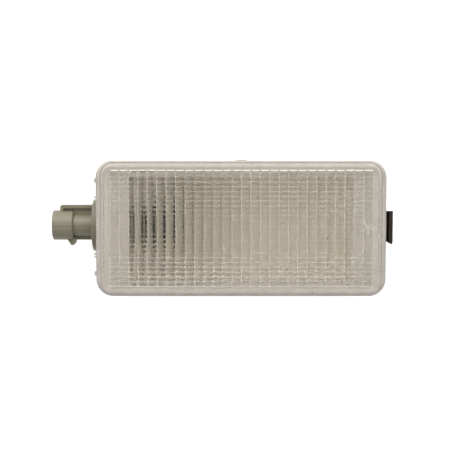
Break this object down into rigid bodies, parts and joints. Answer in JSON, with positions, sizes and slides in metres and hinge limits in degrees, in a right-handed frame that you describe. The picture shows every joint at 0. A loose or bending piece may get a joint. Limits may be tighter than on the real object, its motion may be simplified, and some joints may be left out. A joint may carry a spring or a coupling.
{
  "type": "car dome light",
  "caption": "Rectangular snap-in interior light with a clear fluted lens, moulded housing, twist-lock bulb holder with plug barrel, and a spring clip.",
  "frame": {"origin": "below the centre of the lens, in the plane where the underside of the flange seats on the panel", "axes": "+Z out of the lens, +X from the plug end to the spring clip, +Y across, towards the side with the finger wing"},
  "size_m": [0.1537, 0.0604, 0.0354],
  "materials": {
    "clear_lens": "clear polycarbonate, slightly milky, glossy",
    "housing_plastic": "light warm grey, satin",
    "holder_plastic": "olive grey, satin",
    "seal_rubber": "matte black",
    "contact_brass": "tinned strip",
    "bulb_glass": "clear",
    "wire": "drawn wire",
    "filament": "drawn wire",
    "black_steel": "black oxide, satin"
  },
  "bodies": {
    "light": {"lens": "clear_lens", "housing": "housing_plastic"},
    "holder": {"bulb_holder": "holder_plastic", "flange_seal": "seal_rubber", "contact_upper": "contact_brass", "contact_lower": "contact_brass", "bulb_glass": "bulb_glass", "bulb_leads": "wire", "bulb_filament": "filament"},
    "clip": {"spring_clip": "black_steel"}
  },
  "joints": [
    {"name": "holder_twist", "type": "hinge", "parent": "light", "child": "holder", "pos_m": [-0.06, 0, -0.015], "axis": [1, 0, 0], "range_deg": [0, 45]},
    {"name": "clip_flex", "type": "hinge", "parent": "light", "child": "clip", "pos_m": [0.05577, 0, -0.0206], "axis": [0, -1, 0], "range_deg": [0, 24], "stiffness_Nm_per_rad": 0.8}
  ]
}
